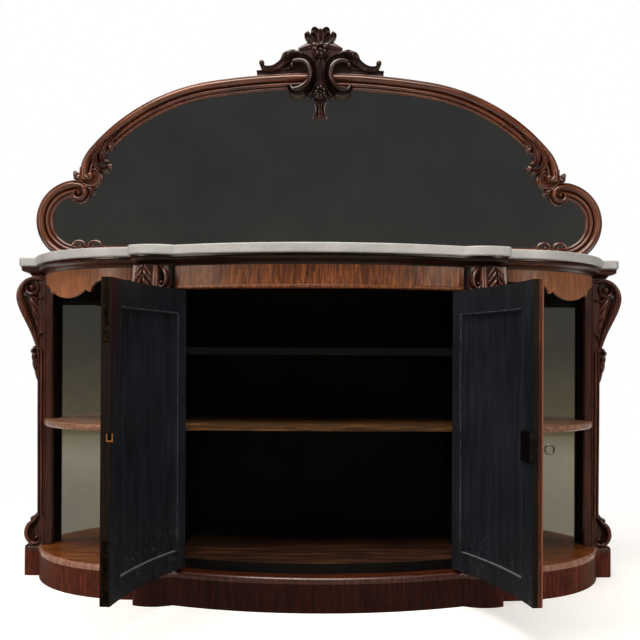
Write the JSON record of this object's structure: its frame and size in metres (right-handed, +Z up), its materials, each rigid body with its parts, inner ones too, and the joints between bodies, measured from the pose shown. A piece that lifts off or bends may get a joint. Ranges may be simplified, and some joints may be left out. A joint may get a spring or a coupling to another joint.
{
  "type": "credenza",
  "caption": "Serpentine marble-topped credenza with an arched mirror back, bowed doors, mirrored ends with shelves, and carved scroll consoles",
  "frame": {"origin": "On the floor, under the centre bearer of the plinth: half way along the piece and 250 mm forward of its back line", "axes": "+X to the viewer's right, +Y to the wall, +Z up; the doors open towards -Y"},
  "size_m": [1.85, 0.8002, 1.7091],
  "materials": {
    "marble": "honed, faint grey veins",
    "mirror_plate": "silvered plate, slightly aged",
    "frame_walnut": "polished orange-brown walnut",
    "dark_carving": "dark polished carving",
    "frieze_veneer": "polished veneer, upright figure",
    "cornice_wood": "dark polished moulding",
    "plinth_veneer": "dark red-brown veneer, upright grain",
    "deck_wood": "worn polish, grain across",
    "post_wood": "red-brown polish",
    "end_shelf_wood": "polished, light worn edge",
    "shelf_wood": "bare worn wood",
    "bottom_wood": "bare worn wood with a black edge",
    "dark_carcass": "dark stain",
    "softwood": "unfinished softwood",
    "door_wood": "black stain inside, red-brown edges",
    "aged_brass": "aged, uneven",
    "dark_steel": "dull, worn"
  },
  "bodies": {
    "carcass": {"arch_moulding": "frame_walnut", "back_boards": "dark_carcass", "base_curls": "dark_carving", "carcass_hinge_leaves": "aged_brass", "carcass_screws": "dark_steel", "centre_frieze": "frieze_veneer", "cornice": "cornice_wood", "crest": "dark_carving", "cupboard_bottom": "bottom_wood", "cupboard_shelves": "shelf_wood", "deck": "deck_wood", "left_console": "dark_carving", "left_corbel": "dark_carving", "left_corner_post": "post_wood", "left_cupboard_side": "dark_carcass", "left_end_frieze": "frieze_veneer", "left_end_shelf": "end_shelf_wood", "left_frame_leaf": "dark_carving", "left_lobe_moulding": "frame_walnut", "left_pilaster": "post_wood", "left_plinth_end": "plinth_veneer", "left_side_mirror": "mirror_plate", "marble_top": "marble", "mirror_backboard": "softwood", "mirror_base_moulding": "frame_walnut", "mirror_glass": "mirror_plate", "mirror_ground_frame": "softwood", "mirror_slips": "dark_carcass", "plinth_front": "plinth_veneer", "plinth_rails": "softwood", "right_console": "dark_carving", "right_corbel": "dark_carving", "right_corner_post": "post_wood", "right_cupboard_side": "dark_carcass", "right_end_frieze": "frieze_veneer", "right_end_shelf": "end_shelf_wood", "right_frame_leaf": "dark_carving", "right_lobe_moulding": "frame_walnut", "right_pilaster": "post_wood", "right_plinth_end": "plinth_veneer", "right_side_mirror": "mirror_plate", "shelf_bearers": "softwood", "sub_top": "softwood"},
    "left_door": {"left_door_frame": "door_wood", "left_door_panel": "door_wood", "left_door_moulding": "door_wood", "left_hinge_leaves": "aged_brass", "left_door_screws": "dark_steel", "left_door_plates": "aged_brass"},
    "right_door": {"right_door_frame": "door_wood", "right_door_panel": "door_wood", "right_door_moulding": "door_wood", "right_hinge_leaves": "aged_brass", "right_door_screws": "dark_steel", "lock_case": "dark_steel", "escutcheon": "aged_brass"},
    "top_bolt": {"top_bolt": "aged_brass"},
    "bottom_bolt": {"bottom_bolt": "aged_brass"},
    "lock_bolt": {"lock_bolt": "dark_steel"},
    "key": {"key": "dark_steel"}
  },
  "joints": [
    {"name": "left_door_hinge", "type": "hinge", "parent": "carcass", "child": "left_door", "pos_m": [-0.3895, -0.16816, 0.47475], "axis": [0, 0, -1], "range_deg": [-96, 14]},
    {"name": "right_door_hinge", "type": "hinge", "parent": "carcass", "child": "right_door", "pos_m": [0.3895, -0.16816, 0.47475], "axis": [0, 0, 1], "range_deg": [-98, 12]},
    {"name": "top_bolt_slide", "type": "slide", "parent": "left_door", "child": "top_bolt", "axis": [0, 0, 1], "range_m": [0, 0.016]},
    {"name": "bottom_bolt_slide", "type": "slide", "parent": "left_door", "child": "bottom_bolt", "axis": [0, 0, -1], "range_m": [0, 0.016]},
    {"name": "lock_bolt_slide", "type": "slide", "parent": "right_door", "child": "lock_bolt", "axis": [0.1392, -0.9903, 0], "range_m": [0, 0.01]},
    {"name": "key_turn", "type": "hinge", "parent": "right_door", "child": "key", "pos_m": [0.52456, -0.50514, 0.457], "axis": [0.9903, 0.1392, 0], "range_deg": [0, 360]}
  ],
  "couplings": [
    {"joint": "key_turn", "follows": "lock_bolt_slide", "rad_per_m": 628.32}
  ]
}
